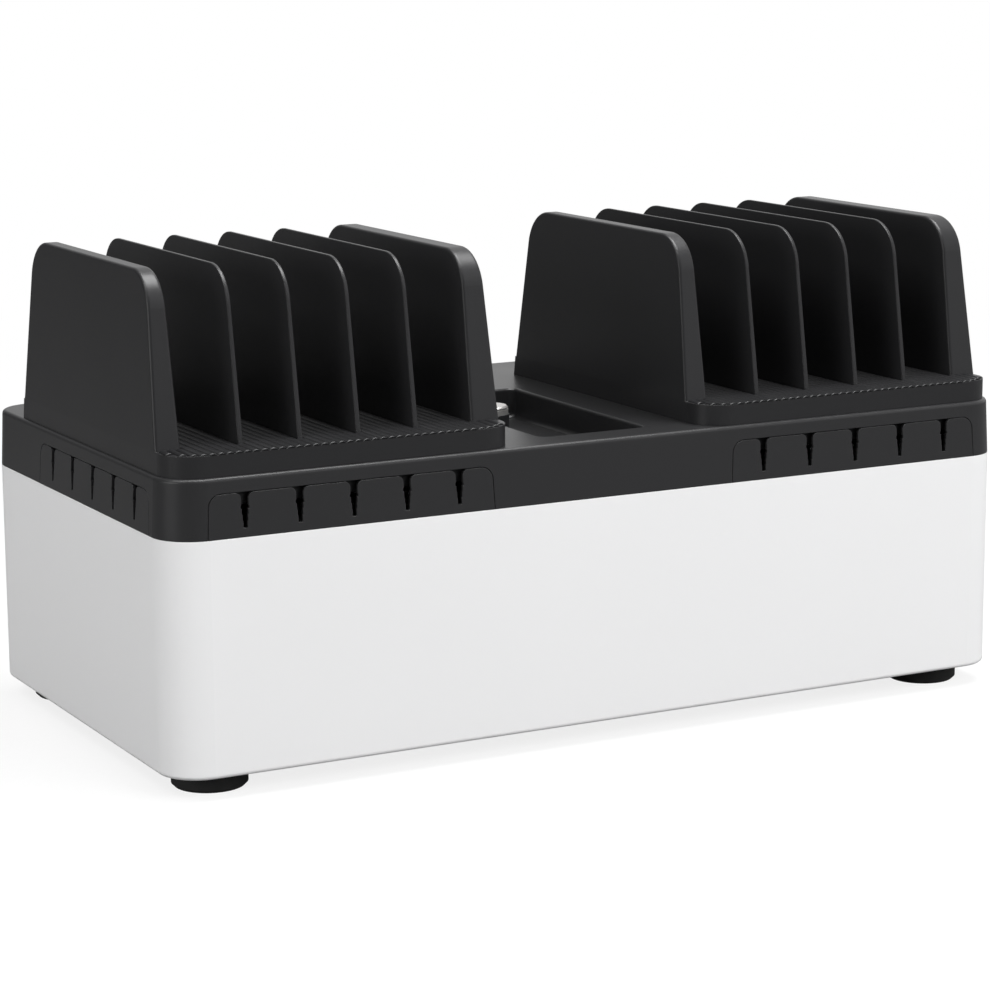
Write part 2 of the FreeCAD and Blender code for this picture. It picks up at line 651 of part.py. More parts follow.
def make_hinges():
    """Two butt hinges: a leaf on the tub, a leaf on the lid, a pin and screws."""
    third = "hinge_length / 3"
    knuckles = {
        "tub": [("-hinge_length / 2", third), ("hinge_length / 2 - hinge_length / 3", third)],
        "lid": [("-hinge_length / 6 + knuckle_gap", f"{third} - 2 * knuckle_gap")],
    }
    screws = {"tub": [], "lid": []}
    for side, middle in HINGE_PLACES.items():
        back = ("tub_depth / 2", "tub_depth / 2 + leaf_thick")
        for owner, sign in (("tub", "-"), ("lid", "+")):
            far = f"{SEAM} {sign} ({LEAF_START} + leaf_height)"
            near = f"{SEAM} {sign} {LEAF_START}"
            span = (near, far) if sign == "+" else (far, near)
            pieces = [block(about(middle, "hinge_length / 2"), back, span)]
            for start, length in knuckles[owner]:
                low = f"{middle} + ({start})"
                web = (SEAM, near) if sign == "+" else (near, SEAM)
                pieces.append(block((low, f"{low} + {length}"), back, web))
                pieces.append(rod("knuckle_radius", length, low, HINGE_Y, SEAM, "x"))
            bore = rod("hinge_pin_radius + hinge_pin_fit", "hinge_length + 2 * overrun",
                       f"{middle} - hinge_length / 2 - overrun", HINGE_Y, SEAM, "x")
            holes = []
            for x in hinge_screw_places(middle):
                seat = (x, "tub_depth / 2 + leaf_thick", leaf_middle(sign))
                holes.append(screw_hole(*seat, "-y", HINGE_SCREW_LENGTH))
                screws[owner].append(screw(*seat, "-y", HINGE_SCREW_LENGTH))
            finish(f"hinge_{side}_{owner}_leaf", cut(join(*pieces), bore, *holes))
        start = f"{middle} - hinge_length / 2"
        pin = join(
            rod("hinge_pin_radius", "hinge_length", start, HINGE_Y, SEAM, "x"),
            rod("hinge_pin_head_radius", "hinge_pin_head", f"{start} - hinge_pin_head", HINGE_Y, SEAM, "x"),
            rod("hinge_pin_head_radius", "hinge_pin_head", f"{start} + hinge_length", HINGE_Y, SEAM, "x"))
        finish(f"hinge_{side}_pin", pin)
    group("hinge_tub_screws", screws["tub"])
    group("hinge_lid_screws", screws["lid"])


def hinge_seats(owner, sign, wall):
    """The thickened wall behind each leaf, and its screw holes."""
    pads = []
    holes = []
    for middle in HINGE_PLACES.values():
        near = f"{SEAM} {sign} {LEAF_START}"
        far = f"{SEAM} {sign} ({LEAF_START} + leaf_height)"
        span = (near, far) if sign == "+" else (far, near)
        front = f"tub_depth / 2 - {wall} - hinge_pad"
        back = "tub_depth / 2" if owner == "lid" else f"tub_depth / 2 - {wall}"
        pads.append(block(about(middle, "hinge_length / 2"), (front, back), span))
        for x in hinge_screw_places(middle):
            seat = (x, "tub_depth / 2", leaf_middle(sign))
            holes.append(screw_hole(*seat, "-y", "screw_bite + screw_fit"))
    return pads, holes


# Outlet strips
STRIP_SIDES = {"left": "-1", "right": "1"}
STRIP_MIDDLE = "(strip_gap + strip_length / 2)"
STRIP_BASE = f"({TUB_FLOOR_TOP} + boss_height)"
STRIP_COVER_BASE = f"({TUB_FLOOR_TOP} + boss_height + strip_base_thick)"
STRIP_TOP = f"({TUB_FLOOR_TOP} + boss_height + strip_base_thick + strip_height)"


def strip_screw_places():
    """An ear at each end of each strip, past the cover."""
    places = []
    for sign in STRIP_SIDES.values():
        for end in ("strip_gap - strip_ear / 2", "strip_gap + strip_length + strip_ear / 2"):
            places.append((f"{sign} * ({end})", "strip_place - strip_ear_place"))
    return places


def outlet_places():
    """Outlet centres along a strip, from its middle."""
    return [f"outlet_pitch * {i - (OUTLET_COUNT - 1) / 2}" for i in range(OUTLET_COUNT)]


def make_outlet(x):
    """One outlet: a raised face with a flange below, two blade slots and a ground hole."""
    half = ("outlet_width / 2 - seat_fit", "outlet_depth / 2 - seat_fit")
    face = rounded_block(about("0", half[0]), about("0", half[1]),
                         "outlet_flange_thick + strip_wall + outlet_rise", "outlet_corner")
    flange = rounded_block(about("0", "outlet_width / 2 + outlet_flange"),
                           about("0", "outlet_depth / 2 + outlet_flange"),
                           "outlet_flange_thick", "outlet_corner")
    low = f"{STRIP_TOP} - strip_wall - outlet_flange_thick"
    for body in (face, flange):
        place(body, x, "strip_place", low)
    deep = (f"{low} + outlet_flange_thick / 2", f"{STRIP_TOP} + outlet_rise + overrun")
    blade_y = about("strip_place + ground_place / 2", "blade_length / 2")
    slots = [
        block(about(f"{x} {sign} blade_spacing / 2", "blade_width / 2"), blade_y, deep)
        for sign in ("-", "+")
    ]
    ground = rod("ground_radius", f"({deep[1]}) - ({deep[0]})",
                 x, "strip_place - ground_place", deep[0])
    return cut(join(face, flange), ground, *slots)


def make_strips():
    """Two outlet strips: base plate with ears, cover and outlets."""
    for side, sign in STRIP_SIDES.items():
        middle = f"{sign} * {STRIP_MIDDLE}"
        long = about(middle, "strip_length / 2")
        deep = about("strip_place", "strip_depth / 2")
        base = [block(long, deep, (STRIP_BASE, STRIP_COVER_BASE))]
        ear_y = about("strip_place - strip_ear_place", "strip_ear_depth / 2")
        base.append(block(about(middle, "strip_length / 2 + strip_ear"), ear_y,
                          (STRIP_BASE, STRIP_COVER_BASE)))
        holes = [screw_hole(x, y, STRIP_COVER_BASE, "-z", "strip_base_thick + overrun")
                 for x, y in strip_screw_places()]
        finish(f"strip_{side}_base", cut(join(*base), *holes))

        shell = rounded_block(about("0", "strip_length / 2"), about("0", "strip_depth / 2"),
                              "strip_height", "strip_corner")
        high = value("strip_height")
        round_edges(shell, "strip_edge_round", lambda box: box.ZMin > high - NEAR)
        hollow = rounded_block(about("0", "strip_length / 2 - strip_wall"),
                               about("0", "strip_depth / 2 - strip_wall"),
                               "strip_height - strip_wall", "strip_corner - strip_wall")
        for body in (shell, hollow):
            place(body, middle, "strip_place", STRIP_COVER_BASE)
        windows = []
        outlets = []
        for step in outlet_places():
            window = rounded_block(about("0", "outlet_width / 2"), about("0", "outlet_depth / 2"),
                                   "strip_wall + 2 * overrun", "outlet_corner")
            x = f"{middle} + {step}"
            windows.append(place(window, x, "strip_place", f"{STRIP_TOP} - strip_wall - overrun"))
            outlets.append(make_outlet(x))
        inner_end = f"{sign} * strip_gap"
        entry = rod("lead_radius + seat_fit", "2 * strip_wall + 2 * overrun",
                    f"{inner_end} - strip_wall - overrun", "strip_place", LEAD_Z, "x")
        finish(f"strip_{side}_cover", cut(shell, hollow, entry, *windows))
        group(f"strip_{side}_outlets", outlets)
    group("strip_screws", [screw(x, y, STRIP_COVER_BASE, "-z", "strip_base_thick + screw_bite")
                           for x, y in strip_screw_places()])


# Power inlet with its switch, on the outside of the back wall
INLET_Z = "(foot_height + inlet_rise)"
INLET_FACE = "(tub_depth / 2 + inlet_flange_thick)"
INLET_BACK = "(tub_depth / 2 - inlet_body_depth)"
SOCKET_X = "(-socket_place)"
SWITCH_X = "switch_place"
AXLE_Y = f"({INLET_FACE} - axle_depth)"
LEAD_Z = INLET_Z
INLET_SCREW_LENGTH = "inlet_flange_thick + screw_bite"


def wall_plate(x, z, low, high, corner):
    """A rounded plate parallel to the back wall, between two depths."""
    body = new_body()
    pad(body, outline(body, "XZ_Plane", rectangle(x, z), f"-({high})"), f"({high}) - ({low})")
    round_edges(body, corner, lambda box: box.YLength > NEAR)
    return body


def make_inlet():
    """The inlet: flange and body with a mains socket and a switch well, contacts and screws."""
    flange = wall_plate(about("0", "inlet_flange_width / 2"), about(INLET_Z, "inlet_flange_height / 2"),
                        "tub_depth / 2", INLET_FACE, "inlet_flange_corner")
    core = block(about("0", "inlet_body_width / 2"), (INLET_BACK, INLET_FACE),
                 about(INLET_Z, "inlet_body_height / 2"))
    half_w = "socket_width / 2"
    half_h = "socket_height / 2"
    socket = new_body()
    rim = [
        (f"{SOCKET_X} - {half_w}", f"{INLET_Z} - {half_h}"),
        (f"{SOCKET_X} + {half_w}", f"{INLET_Z} - {half_h}"),
        (f"{SOCKET_X} + {half_w}", f"{INLET_Z} + {half_h} - socket_chamfer"),
        (f"{SOCKET_X} + {half_w} - socket_chamfer", f"{INLET_Z} + {half_h}"),
        (f"{SOCKET_X} - {half_w} + socket_chamfer", f"{INLET_Z} + {half_h}"),
        (f"{SOCKET_X} - {half_w}", f"{INLET_Z} + {half_h} - socket_chamfer"),
    ]
    pad(socket, outline(socket, "XZ_Plane", rim, f"-({INLET_FACE} + overrun)"), "socket_depth + overrun")
    well = block(about(SWITCH_X, "rocker_width / 2 + rocker_gap"),
                 (f"{INLET_FACE} - rocker_well_depth", f"{INLET_FACE} + overrun"),
                 about(INLET_Z, "rocker_reach + rocker_end_gap"))
    axle = rod("axle_radius + axle_fit", "rocker_width + 2 * rocker_gap + 2 * axle_reach",
               f"{SWITCH_X} - rocker_width / 2 - rocker_gap - axle_reach", AXLE_Y, INLET_Z, "x")
    floor = f"({INLET_FACE} - socket_depth)"
    contacts = []
    roots = []
    for step, lift in (("-contact_spacing", "0"), ("0", "contact_lift"), ("contact_spacing", "0")):
        x = f"{SOCKET_X} + {step}"
        z = f"{INLET_Z} - contact_lift / 2 + {lift}"
        contacts.append(block(about(x, "contact_width / 2"),
                              (f"{floor} - contact_root", f"{floor} + contact_length"),
                              about(z, "contact_height / 2")))
        roots.append(block(about(x, "contact_width / 2"), (f"{floor} - contact_root", floor),
                           about(z, "contact_height / 2")))
    lead_start = f"{INLET_BACK} - overrun"
    leads = [rod("lead_radius + seat_fit", "lead_bite + overrun", x, lead_start, LEAD_Z, "y")
             for x in ("-lead_place", "lead_place")]
    seats = [(x, INLET_FACE, INLET_Z) for x in ("-inlet_screw_spread", "inlet_screw_spread")]
    holes = [screw_hole(*seat, "-y", "inlet_flange_thick + overrun") for seat in seats]
    finish("power_inlet", cut(join(flange, core), socket, well, axle, *roots, *leads, *holes))
    group("inlet_contacts", contacts)
    group("inlet_screws", [screw(*seat, "-y", INLET_SCREW_LENGTH) for seat in seats])


def make_rocker():
    """The switch rocker with its axle, leaning to its off side."""
    body = new_body()
    high = "rocker_rise + axle_depth"
    end = f"({high} + rocker_reach * tan(rocker_tilt))"
    back = "(axle_depth + rocker_rise - rocker_thick)"
    side = [
        (f"{back}", "-rocker_reach / 2"), (f"{back} + rocker_thick / 2", "-rocker_reach"),
        (end, "-rocker_reach"), (high, "0"), (end, "rocker_reach"),
        (f"{back} + rocker_thick / 2", "rocker_reach"), (f"{back}", "rocker_reach / 2"),
    ]
    pad(body, outline(body, "YZ_Plane", side, "-rocker_width / 2"), "rocker_width")
    place(body, SWITCH_X, AXLE_Y, INLET_Z, X_AXIS, "rocker_tilt")
    axle = rod("axle_radius", "rocker_width + 2 * rocker_gap + 2 * axle_reach - 2 * axle_fit",
               f"{SWITCH_X} - rocker_width / 2 - rocker_gap - axle_reach + axle_fit",
               AXLE_Y, INLET_Z, "x")
    finish("power_rocker", join(body, axle))


def make_leads():
    """Internal leads from the inlet's back to each strip's inner end, with one bend each."""
    bend_y = "(strip_place + lead_bend)"
    for side, sign, turn in (("left", "-1", "-90"), ("right", "1", "180")):
        x = f"{sign} * lead_place"
        bend_x = f"{sign} * (lead_place + lead_bend)"
        bend = doc.addObject("Part::Torus", "bend")
        bend.setExpression("Radius1", bound("lead_bend"))
        bend.setExpression("Radius2", bound("lead_radius"))
        bend.Angle3 = 90
        place(bend, bend_x, bend_y, LEAD_Z, Z_AXIS, turn)
        back = rod("lead_radius", f"{INLET_BACK} + lead_bite - {bend_y}", x, bend_y, LEAD_Z, "y")
        into = "(strip_gap + lead_bite - lead_place - lead_bend)"
        start = bend_x if side == "right" else f"{bend_x} - {into}"
        across = rod("lead_radius", into, start, "strip_place", LEAD_Z, "x")
        finish(f"lead_{side}", join(back, bend, across))


# The tub
def foot_bosses():
    return [rod("boss_radius", "boss_height", x, y, TUB_FLOOR_TOP) for x, y in FOOT_PLACES]


def strip_bosses():
    return [rod("boss_radius", "boss_height", x, y, TUB_FLOOR_TOP) for x, y in strip_screw_places()]


POST_Y = "(lock_place + cam_length + post_clear + post_thick / 2)"
POST_SCREWS = [("-post_screw_spread", POST_Y), ("post_screw_spread", POST_Y)]
POST_BASE = f"({TUB_FLOOR_TOP} + boss_height)"


def make_tub():
    """The white tub with its bosses, comb sockets, hinge pads and inlet opening."""
    shell = rounded_block(about("0", "tub_width / 2"), about("0", "tub_depth / 2"),
                          "tub_height", "tub_corner")
    round_edges(shell, "tub_bottom_round", lambda box: box.ZMax < NEAR)
    hollow = rounded_block(about("0", "tub_width / 2 - tub_wall"), about("0", "tub_depth / 2 - tub_wall"),
                           "tub_height - tub_floor + overrun", "tub_corner - tub_wall")
    place(shell, z="foot_height")
    place(hollow, z=TUB_FLOOR_TOP)
    sockets, spaces = comb_sockets()
    pads, hinge_holes = hinge_seats("tub", "-", "tub_wall")
    post_pad = block(about("0", "post_foot_width / 2"), about(POST_Y, "post_foot_depth / 2"),
                     (TUB_FLOOR_TOP, POST_BASE))
    body = join(cut(shell, hollow), post_pad, *sockets, *pads, *foot_bosses(), *strip_bosses())

    opening = block(about("0", "inlet_body_width / 2 + inlet_fit"),
                    ("tub_depth / 2 - tub_wall - overrun", "tub_depth / 2 + overrun"),
                    about(INLET_Z, "inlet_body_height / 2 + inlet_fit"))
    holes = [screw_hole(x, y, "foot_height", "+z", "tub_floor + screw_bite + screw_fit")
             for x, y in FOOT_PLACES]
    holes += [screw_hole(x, y, STRIP_BASE, "-z", "screw_bite + screw_fit")
              for x, y in strip_screw_places()]
    holes += [screw_hole(x, y, POST_BASE, "-z", "screw_bite + screw_fit") for x, y in POST_SCREWS]
    holes += [screw_hole(x, "tub_depth / 2", INLET_Z, "-y", "tub_wall + overrun + screw_bite")
              for x in ("-inlet_screw_spread", "inlet_screw_spread")]
    finish("base_tub", cut(body, opening, *spaces, *holes, *hinge_holes))


# The lid
RACK_SIDES = {"left": "-rack_place", "right": "rack_place"}
RACK_SCREW_X = ("-(rack_width / 2 - rack_screw_side)", "(rack_width / 2 - rack_screw_side)")
RACK_SCREW_Y = ("-(rack_front - rack_screw_end)", "(rack_back - rack_screw_end)")
RACK_SCREW_LENGTH = "lid_plate + screw_bite"
RECESS_Y = ("-recess_front", "recess_back")


def rack_screw_places():
    return [(f"{middle} + {x}", y) for middle in RACK_SIDES.values()
            for x in RACK_SCREW_X for y in RACK_SCREW_Y]


def make_lid():
    """The black lid: a leaning skirt with comb notches, lips, a hand recess and hinge pads."""
    outer = rounded_block(about("0", "tub_width / 2"), about("0", "tub_depth / 2"),
                          "lid_height", "tub_corner")
    lean_in(outer, LID_ANGLE, upright)
    high = value("lid_height")
    round_edges(outer, "lid_edge_round", lambda box: box.ZMin > high - NEAR)
    inner = rounded_block(about("0", "tub_width / 2 - lid_wall"), about("0", "tub_depth / 2 - lid_wall"),
                          "lid_height - lid_plate", "tub_corner - lid_wall")
    lean_in(inner, LID_ANGLE, upright)
    for body in (outer, inner):
        place(body, z=SEAM)
    skirt = cut(outer, inner, *comb_notches())

    tray_y = ("-recess_front - recess_wall", "recess_back + recess_wall")
    tray = rounded_block(about("0", "recess_width / 2 + recess_wall"), tray_y,
                         "recess_depth + recess_wall - lid_plate / 2", "recess_corner + recess_wall")
    place(tray, z=f"{RECESS_FLOOR} - recess_wall")
    hollow = rounded_block(about("0", "recess_width / 2"), RECESS_Y,
                           "recess_depth + overrun", "recess_corner")
    round_edges(hollow, "recess_foot_round", lambda box: box.ZMax < NEAR)
    place(hollow, z=RECESS_FLOOR)
    pads, holes = hinge_seats("lid", "+", "lid_wall")
    holes.append(rod("lock_sleeve_radius + seat_fit", "recess_wall + 2 * overrun",
                     "0", "lock_place", f"{RECESS_FLOOR} - recess_wall - overrun"))
    holes += [screw_hole(x, y, f"{LID_TOP} - lid_plate", "+z", "lid_plate + overrun")
              for x, y in rack_screw_places()]
    whole = cut(join(skirt, tray, *comb_lips(), *pads), hollow, *holes)
    doc.recompute()

    top = value(LID_TOP)
    side = value("recess_width / 2")
    shortest = value("recess_corner / 2")

    def rim(box):
        within = max(abs(box.XMin), abs(box.XMax)) < side + NEAR
        return box.ZMin > top - NEAR and within and box.YLength + box.XLength > shortest
    rounded = doc.addObject("Part::Fillet", "rim")
    rounded.Base = whole
    radius = value("recess_rim_round")
    rounded.Edges = [(i, radius, radius) for i, edge in enumerate(whole.Shape.Edges, start=1)
                     if rim(edge.BoundBox)]
    finish("lid_shell", rounded)


# Racks
WALL_LENGTH_Y = ("-(rack_front - rack_ledge)", "rack_back")
WALL_END_ANGLE = "atan(wall_lean / wall_height)"
END_WALLS = {
    "-": ("left_wall_foot", "wall_outer_lean", "wall_inner_lean"),
    "+": ("right_wall_foot", "wall_inner_lean", "wall_outer_lean"),
}


def upright_plate(foot, left_lean, right_lean, edge):
    """A wall or divider: thinner at its top, with leaning ends, round top corners and soft edges."""
    body = new_body()
    sketch = outline(body, "XY_Plane", rectangle(about("0", f"{foot} / 2"), WALL_LENGTH_Y))
    pad(body, sketch, "wall_height")
    lean_in(body, f"atan({left_lean} / wall_height)", lambda box: box.XLength < NEAR and box.XMax < 0)
    lean_in(body, f"atan({right_lean} / wall_height)", lambda box: box.XLength < NEAR and box.XMin > 0)
    lean_in(body, WALL_END_ANGLE, lambda box: box.YLength < NEAR)
    high = value("wall_height")
    round_edges(body, "wall_corner", lambda box: box.ZMin > high - NEAR and box.YLength < NEAR)
    round_edges(body, edge, lambda box: box.ZMax > NEAR and box.YLength > NEAR)
    return body


def divider_places():
    """Divider planes from a rack's middle."""
    return [f"clear_place + divider_pitch * {i - (DIVIDER_COUNT - 1) / 2}" for i in range(DIVIDER_COUNT)]


def make_racks():
    """Racks: a hollow plinth with thick end walls, and dividers seated in its grooves."""
    for side, middle in RACK_SIDES.items():
        foot_back = "rack_back + plinth_height * wall_lean / wall_height"
        plinth = rounded_block(about("0", "rack_width / 2"), ("-rack_front", foot_back),
                               "plinth_height", "plinth_corner", lambda box: box.YMax < 0)
        back = value(foot_back)
        lean_in(plinth, WALL_END_ANGLE, lambda box: box.YMin > back - NEAR)
        cavity = rounded_block(about("0", "rack_width / 2 - plinth_wall"),
                               ("-rack_front + plinth_wall", "rack_back - plinth_wall"),
                               "plinth_height - rack_floor", "plinth_corner - plinth_wall",
                               lambda box: box.YMax < 0)
        for body in (plinth, cavity):
            place(body, middle, "0", LID_TOP)
        walls = []
        for sign, (foot, *leans) in END_WALLS.items():
            wall = upright_plate(foot, *leans, "wall_edge_round")
            walls.append(place(wall, f"{middle} {sign} (rack_width - {foot}) / 2", "0", RACK_TOP))
        seats = [(f"{middle} + {x}", y) for x in RACK_SCREW_X for y in RACK_SCREW_Y]
        bosses = [rod("boss_radius", "plinth_height - rack_floor", x, y, LID_TOP) for x, y in seats]
        holes = [screw_hole(x, y, LID_TOP, "+z", "screw_bite + screw_fit") for x, y in seats]
        grooves = []
        for number, step in enumerate(divider_places(), start=1):
            x = f"{middle} + {step}"
            half = "divider_foot / 2"
            tongue = block(about(x, half), WALL_LENGTH_Y, (f"{RACK_TOP} - divider_seat", RACK_TOP))
            groove_y = (f"{WALL_LENGTH_Y[0]} - seat_fit", f"{WALL_LENGTH_Y[1]} + overrun")
            grooves.append(block(about(x, f"{half} + seat_fit"), groove_y,
                                 (f"{RACK_TOP} - divider_seat", f"{RACK_TOP} + overrun")))
            plate = upright_plate("divider_foot", "divider_lean", "divider_lean", "divider_edge_round")
            place(plate, x, "0", RACK_TOP)
            finish(f"rack_{side}_divider_{number}", join(plate, tongue))
        finish(f"rack_{side}", cut(join(cut(plinth, cavity), *walls, *bosses), *grooves, *holes))
    group("rack_screws", [screw(x, y, f"{LID_TOP} - lid_plate", "+z", RACK_SCREW_LENGTH)
                          for x, y in rack_screw_places()])


# The lock
COLLAR_TOP = f"({RECESS_FLOOR} + lock_collar_height)"
SLEEVE_END = f"({RECESS_FLOOR} - recess_wall - lock_sleeve_drop)"
CAM_TOP = f"({SLEEVE_END} - cam_gap)"
CAM_BASE = f"({SLEEVE_END} - cam_gap - cam_thick)"
CAM_SCREW_LENGTH = "cam_thick + screw_bite"


def make_lock():
    """A key lock in the recess: collar and nut on the lid, barrel, cam and screw that turn."""
    bore = "lock_barrel_radius + lock_barrel_fit"
    sleeve = f"({SLEEVE_END} - {RECESS_FLOOR})"
    collar = turned([
        (bore, sleeve), ("lock_sleeve_radius", sleeve), ("lock_sleeve_radius", "0"),
        ("lock_collar_radius", "0"), ("lock_collar_radius", "lock_collar_height"),
        (bore, "lock_collar_height"),
    ])
    finish("lock_collar", place(collar, "0", "lock_place", RECESS_FLOOR))

    low = f"({CAM_TOP} - {COLLAR_TOP})"
    ring = "(lock_face_height - lock_face_bevel)"
    barrel = turned([
        ("0", low), ("lock_barrel_radius", low), ("lock_barrel_radius", "0"),
        ("lock_face_radius", "0"), ("lock_face_radius", f"{ring} - lock_groove_width"),
        ("lock_face_radius - lock_groove_depth", f"{ring} - lock_groove_width"),
        ("lock_face_radius - lock_groove_depth", ring), ("lock_face_radius", ring),
        ("lock_face_radius - lock_face_bevel", "lock_face_height"), ("0", "lock_face_height"),
    ])
    doc.recompute()
    key = outline(barrel, "XY_Plane",
                  rectangle(about("0", "key_slot_width / 2"), about("0", "key_slot_length / 2")),
                  "lock_face_height")
    pocket(barrel, key, "key_slot_depth")
    place(barrel, "0", "lock_place", COLLAR_TOP)
    thread = screw_hole("0", "lock_place", CAM_TOP, "+z", "screw_bite + screw_fit")
    finish("lock_barrel", cut(barrel, thread))

    nut = doc.addObject("Part::Prism", "nut")
    nut.Polygon = 6
    nut.setExpression("Circumradius", bound("nut_radius"))
    nut.setExpression("Height", bound("nut_thick"))
    place(nut, "0", "lock_place", f"{RECESS_FLOOR} - recess_wall - nut_thick")
    hole = rod("lock_sleeve_radius + seat_fit", "nut_thick + 2 * overrun", "0", "lock_place",
               f"{RECESS_FLOOR} - recess_wall - nut_thick - overrun")
    finish("lock_nut", cut(nut, hole))

    cam_y = about("lock_place", "cam_width / 2")
    arm = block(("-cam_length + cam_width / 2", "0"), cam_y, (CAM_BASE, CAM_TOP))
    heel = rod("cam_width / 2", "cam_thick", "0", "lock_place", CAM_BASE)
    tip = rod("cam_width / 2", "cam_thick", "-cam_length + cam_width / 2", "lock_place", CAM_BASE)
    hole = screw_hole("0", "lock_place", f"{CAM_BASE} - overrun", "+z", "cam_thick + 2 * overrun")
    finish("lock_cam", cut(join(arm, heel, tip), hole))
    finish("lock_cam_screw", screw("0", "lock_place", CAM_BASE, "+z", CAM_SCREW_LENGTH))


def make_post():
    """The latch post on the tub floor, with a hook that the locked cam turns under."""
    hook_low = f"({CAM_TOP} + hook_gap)"
    hook_high = f"({CAM_TOP} + hook_gap + hook_thick)"
    wide = about("0", "post_width / 2")
    column_y = about(POST_Y, "post_thick / 2")
    column = block(wide, column_y, (POST_BASE, hook_high))
    hook = block(wide, (f"{column_y[0]} - hook_reach", column_y[1]), (hook_low, hook_high))
    foot = block(about("0", "post_foot_width / 2"), about(POST_Y, "post_foot_depth / 2"),
                 (POST_BASE, f"{POST_BASE} + post_foot_thick"))
    seat = f"{POST_BASE} + post_foot_thick"
    holes = [screw_hole(x, y, seat, "-z", "post_foot_thick + overrun") for x, y in POST_SCREWS]
    finish("latch_post", cut(join(column, hook, foot), *holes))
    group("post_screws", [screw(x, y, seat, "-z", "post_foot_thick + screw_bite") for x, y in POST_SCREWS])


def write_parts():
    """Check every object, then write each sub-part."""
    doc.recompute()
    failed = [piece.Name for piece in doc.Objects if "Invalid" in piece.State or "Error" in piece.State]
    failed += [label for label, piece in nodes.items() if piece.Shape.isNull() or not piece.Shape.isValid()]
    if failed:
        raise ValueError("failed: " + ", ".join(failed))
    os.makedirs("parts", exist_ok=True)
    to_origin = FreeCAD.Vector(0, -value(OUTLINE_MIDDLE_Y), 0)
    for label, piece in nodes.items():
        shape = piece.Shape.copy()
        shape.translate(to_origin)
        shape.exportStep(f"parts/{label}.step")
    print(len(nodes), "sub-parts")


make_feet()
make_tub()
make_combs()
make_strips()
make_inlet()
make_rocker()
make_leads()
make_post()
make_lid()
make_racks()
make_lock()
make_hinges()
write_parts()
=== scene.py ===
import functools
import json
import math

import bpy
from mathutils import Matrix, Vector


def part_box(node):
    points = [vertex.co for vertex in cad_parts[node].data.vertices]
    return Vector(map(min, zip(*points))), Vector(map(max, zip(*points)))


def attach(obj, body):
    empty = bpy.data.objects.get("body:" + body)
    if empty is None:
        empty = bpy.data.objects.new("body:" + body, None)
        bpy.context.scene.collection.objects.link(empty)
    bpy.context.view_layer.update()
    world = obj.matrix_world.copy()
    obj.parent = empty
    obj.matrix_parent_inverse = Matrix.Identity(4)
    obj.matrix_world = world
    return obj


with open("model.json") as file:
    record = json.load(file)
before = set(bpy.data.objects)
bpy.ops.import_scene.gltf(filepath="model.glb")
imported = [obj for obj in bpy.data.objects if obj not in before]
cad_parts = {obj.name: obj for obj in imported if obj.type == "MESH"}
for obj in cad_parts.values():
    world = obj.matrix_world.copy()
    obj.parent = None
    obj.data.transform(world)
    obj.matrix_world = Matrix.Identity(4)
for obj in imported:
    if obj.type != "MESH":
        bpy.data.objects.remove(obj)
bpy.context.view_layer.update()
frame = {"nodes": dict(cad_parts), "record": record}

# Charging station organizer: finishes for the tub, lid, racks, lock and power pieces, and the
# ribbed floors of the racks. Metres, +Z up, front at -Y.

scene = bpy.context.scene

# The colour sockets of a Mix node, which share their names with those of its other data types.
MIX_FACTOR, MIX_FIRST, MIX_SECOND, MIX_RESULT = 0, 6, 7, 2
BEVEL_SAMPLES = 4


def arithmetic(operation, reflected=False):
    """A method that answers one Python operator with a Math node."""
    def method(link, other):
        given = (other, link) if reflected else (link, other)
        return link.graph.maths(operation, *given)
    return method


class Link:
    """A node's output that takes part in Python arithmetic: each step adds a Math node."""

    def __init__(self, graph, socket):
        self.graph = graph
        self.socket = socket

    __add__ = arithmetic("ADD")
    __radd__ = arithmetic("ADD", reflected=True)
    __sub__ = arithmetic("SUBTRACT")
    __rsub__ = arithmetic("SUBTRACT", reflected=True)
    __mul__ = arithmetic("MULTIPLY")
    __rmul__ = arithmetic("MULTIPLY", reflected=True)
    __truediv__ = arithmetic("DIVIDE")
    __rtruediv__ = arithmetic("DIVIDE", reflected=True)
    __pow__ = arithmetic("POWER")
    __rpow__ = arithmetic("POWER", reflected=True)
    __gt__ = arithmetic("GREATER_THAN")
    __lt__ = arithmetic("LESS_THAN")


